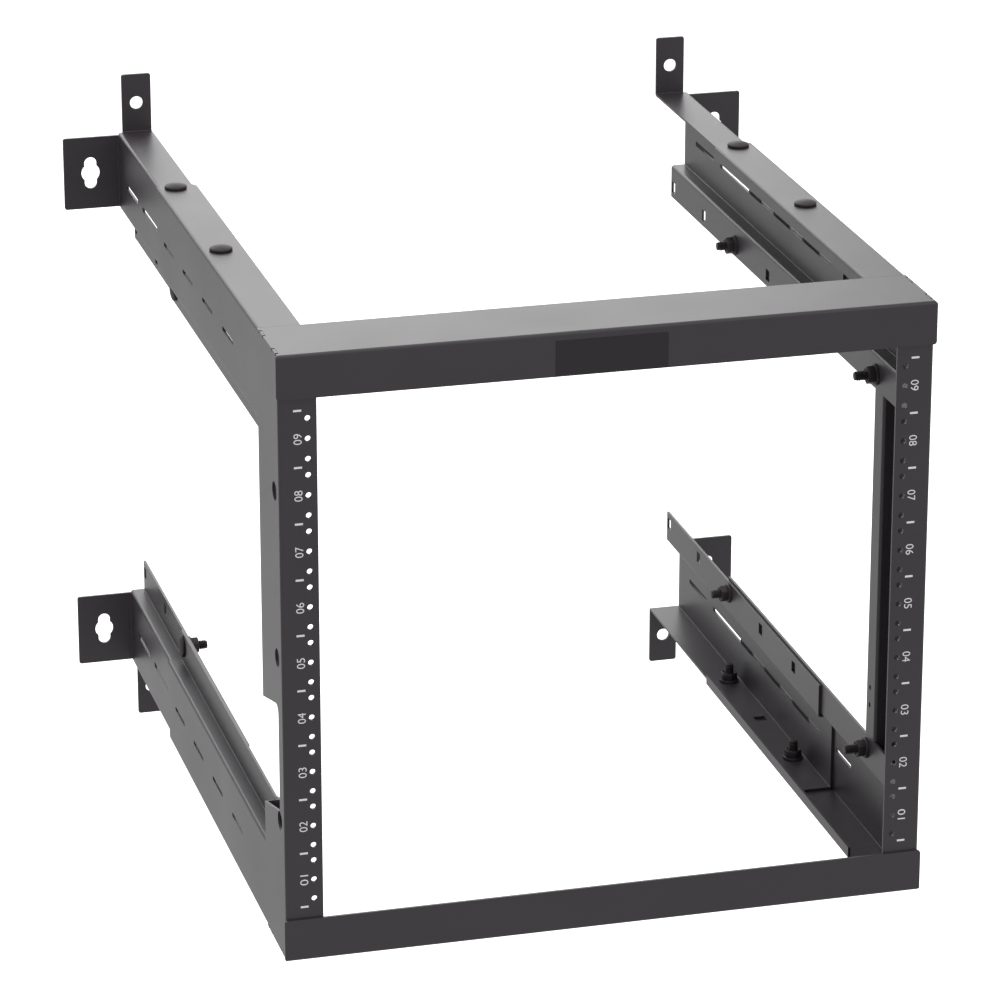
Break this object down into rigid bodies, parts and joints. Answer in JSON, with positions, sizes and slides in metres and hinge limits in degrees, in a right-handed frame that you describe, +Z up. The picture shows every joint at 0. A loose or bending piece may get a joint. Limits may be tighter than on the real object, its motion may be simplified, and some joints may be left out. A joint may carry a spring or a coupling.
{
  "type": "wall mount rack",
  "caption": "Open-frame equipment rack that bolts to a wall, with a front frame of tapped rails and crossbars on four telescoping channel arms.",
  "frame": {"origin": "on the wall face of the upper left ear, on its keyhole's centre line, in the solid metal under the keyhole", "axes": "+X to the right seen from the front, +Y into the wall, +Z up"},
  "size_m": [0.6006, 0.633, 0.5837],
  "materials": {
    "powder_coat": "satin",
    "black_zinc": "satin"
  },
  "bodies": {
    "root": {"left_side_frame": "powder_coat", "right_side_frame": "powder_coat", "top_crossbar": "powder_coat", "bottom_crossbar": "powder_coat", "upper_left_wall_arm": "powder_coat", "lower_left_wall_arm": "powder_coat", "upper_right_wall_arm": "powder_coat", "lower_right_wall_arm": "powder_coat", "upper_left_flange_1_bolt": "black_zinc", "upper_left_flange_2_bolt": "black_zinc", "upper_left_lip_1_bolt": "black_zinc", "upper_left_lip_2_bolt": "black_zinc", "upper_right_flange_1_bolt": "black_zinc", "upper_right_flange_2_bolt": "black_zinc", "upper_right_lip_1_bolt": "black_zinc", "upper_right_lip_2_bolt": "black_zinc", "lower_left_flange_1_bolt": "black_zinc", "lower_left_flange_2_bolt": "black_zinc", "lower_left_lip_1_bolt": "black_zinc", "lower_left_lip_2_bolt": "black_zinc", "lower_right_flange_1_bolt": "black_zinc", "lower_right_flange_2_bolt": "black_zinc", "lower_right_lip_1_bolt": "black_zinc", "lower_right_lip_2_bolt": "black_zinc", "upper_left_flange_1_nut": "black_zinc", "upper_left_flange_2_nut": "black_zinc", "upper_left_lip_1_nut": "black_zinc", "upper_left_lip_2_nut": "black_zinc", "upper_right_flange_1_nut": "black_zinc", "upper_right_flange_2_nut": "black_zinc", "upper_right_lip_1_nut": "black_zinc", "upper_right_lip_2_nut": "black_zinc", "lower_left_flange_1_nut": "black_zinc", "lower_left_flange_2_nut": "black_zinc", "lower_left_lip_1_nut": "black_zinc", "lower_left_lip_2_nut": "black_zinc", "lower_right_flange_1_nut": "black_zinc", "lower_right_flange_2_nut": "black_zinc", "lower_right_lip_1_nut": "black_zinc", "lower_right_lip_2_nut": "black_zinc"}
  },
  "joints": []
}
